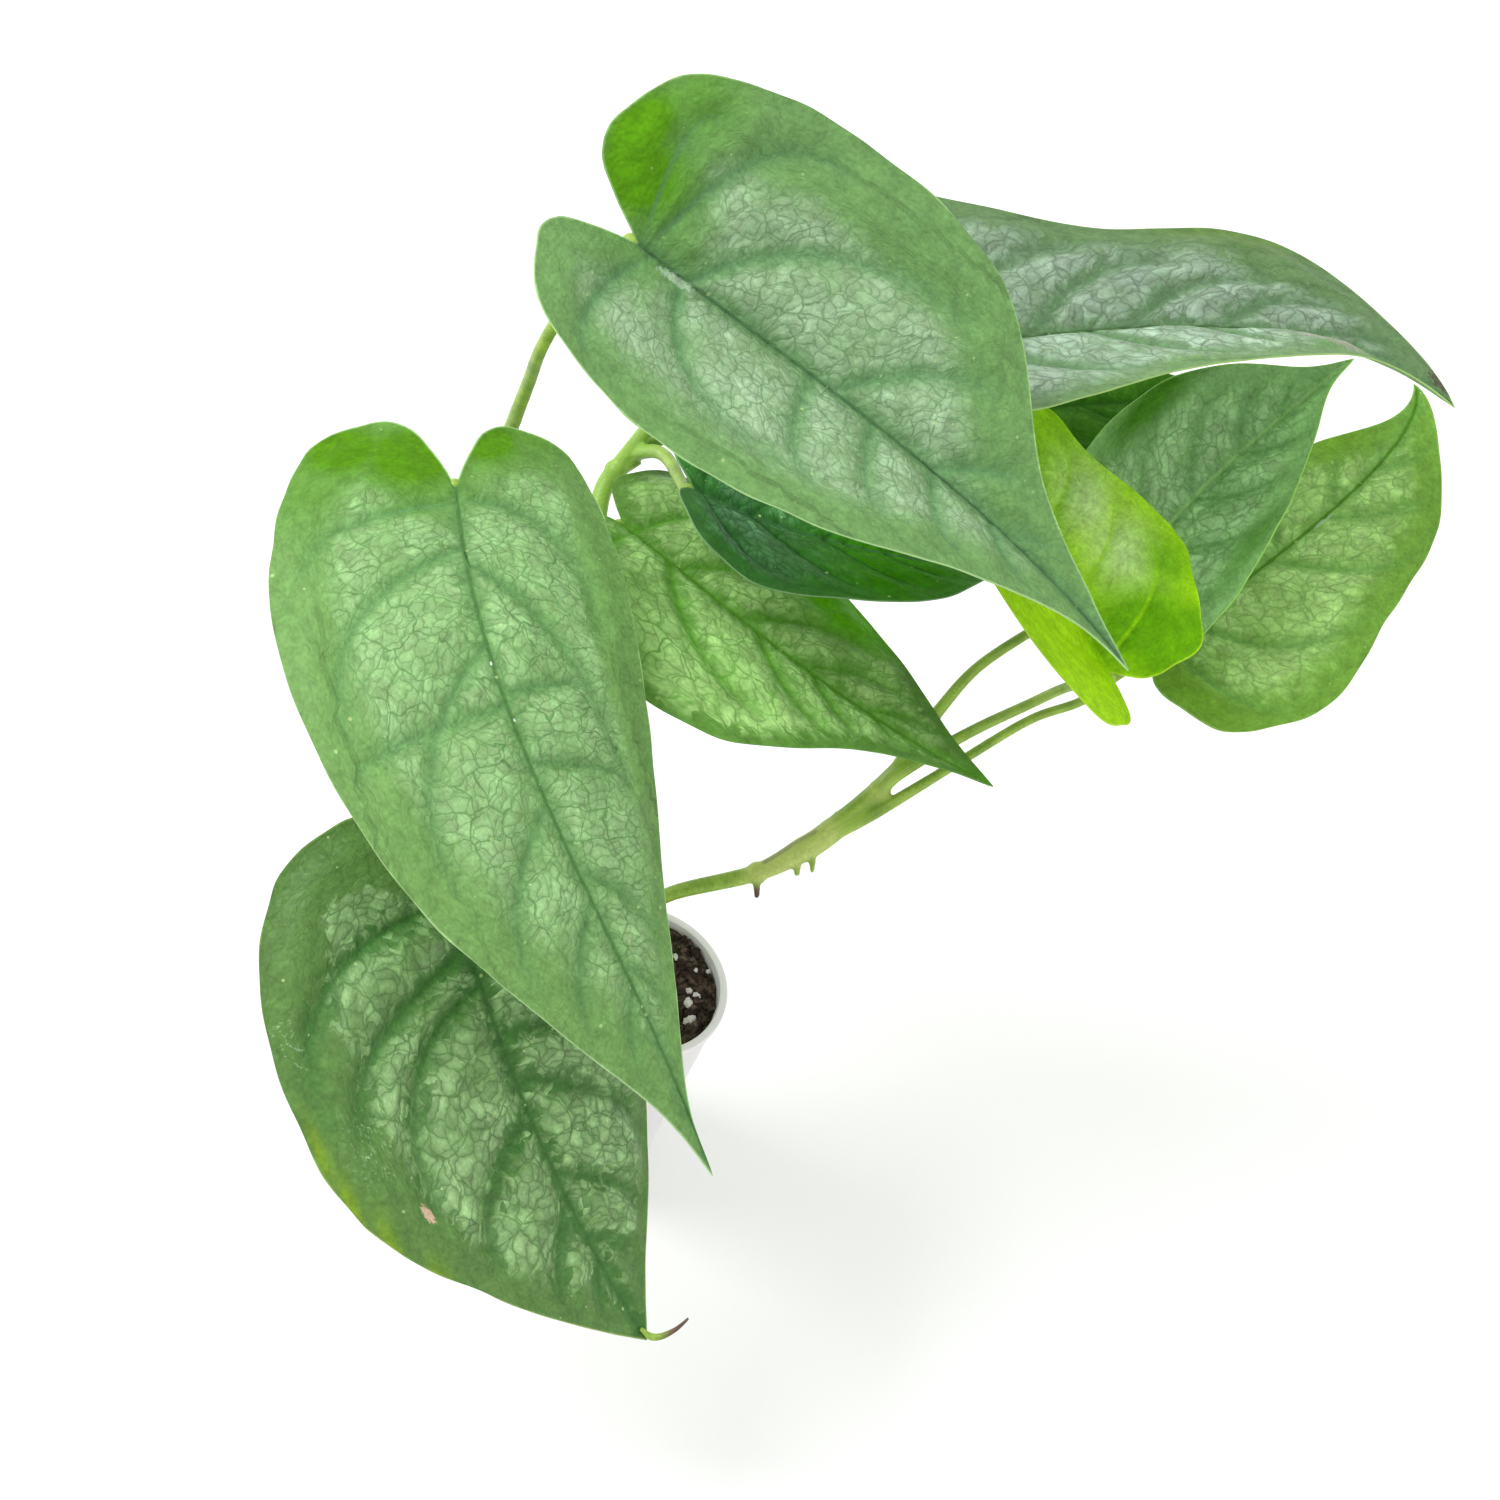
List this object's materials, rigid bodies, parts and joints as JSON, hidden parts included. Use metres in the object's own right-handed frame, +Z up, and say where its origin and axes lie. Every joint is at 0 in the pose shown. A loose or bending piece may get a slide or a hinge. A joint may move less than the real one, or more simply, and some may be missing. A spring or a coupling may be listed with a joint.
{
  "type": "potted monstera siltepecana",
  "caption": "Young climbing aroid with heart-shaped, silver-patched leaves on arching petioles, rooted in potting mix in a small white plastic cup.",
  "frame": {"origin": "middle of the flat face that the cup rests on", "axes": "+Z up along the cup's axis, -Y towards the viewer in the picture, with the lowest leaf towards -Y and the far leaves towards +Y"},
  "size_m": [0.1849, 0.2126, 0.217],
  "materials": {
    "white_plastic": "satin",
    "potting_mix": "matte",
    "green_stem": "satin",
    "blade_a": "satin",
    "blade_b": "satin",
    "blade_c": "satin",
    "blade_d": "satin",
    "blade_e": "satin",
    "blade_f": "satin",
    "blade_g": "satin",
    "blade_h": "satin",
    "blade_i": "satin",
    "blade_j": "satin"
  },
  "bodies": {
    "root": {"pot": "white_plastic", "soil": "potting_mix", "stem_right": "green_stem", "stem_left": "green_stem", "stem_front": "green_stem", "leaf_a": "blade_a", "leaf_b": "blade_b", "leaf_c": "blade_c", "leaf_d": "blade_d", "leaf_e": "blade_e", "leaf_f": "blade_f", "leaf_g": "blade_g", "leaf_h": "blade_h", "leaf_i": "blade_i", "leaf_j": "blade_j"}
  },
  "joints": []
}
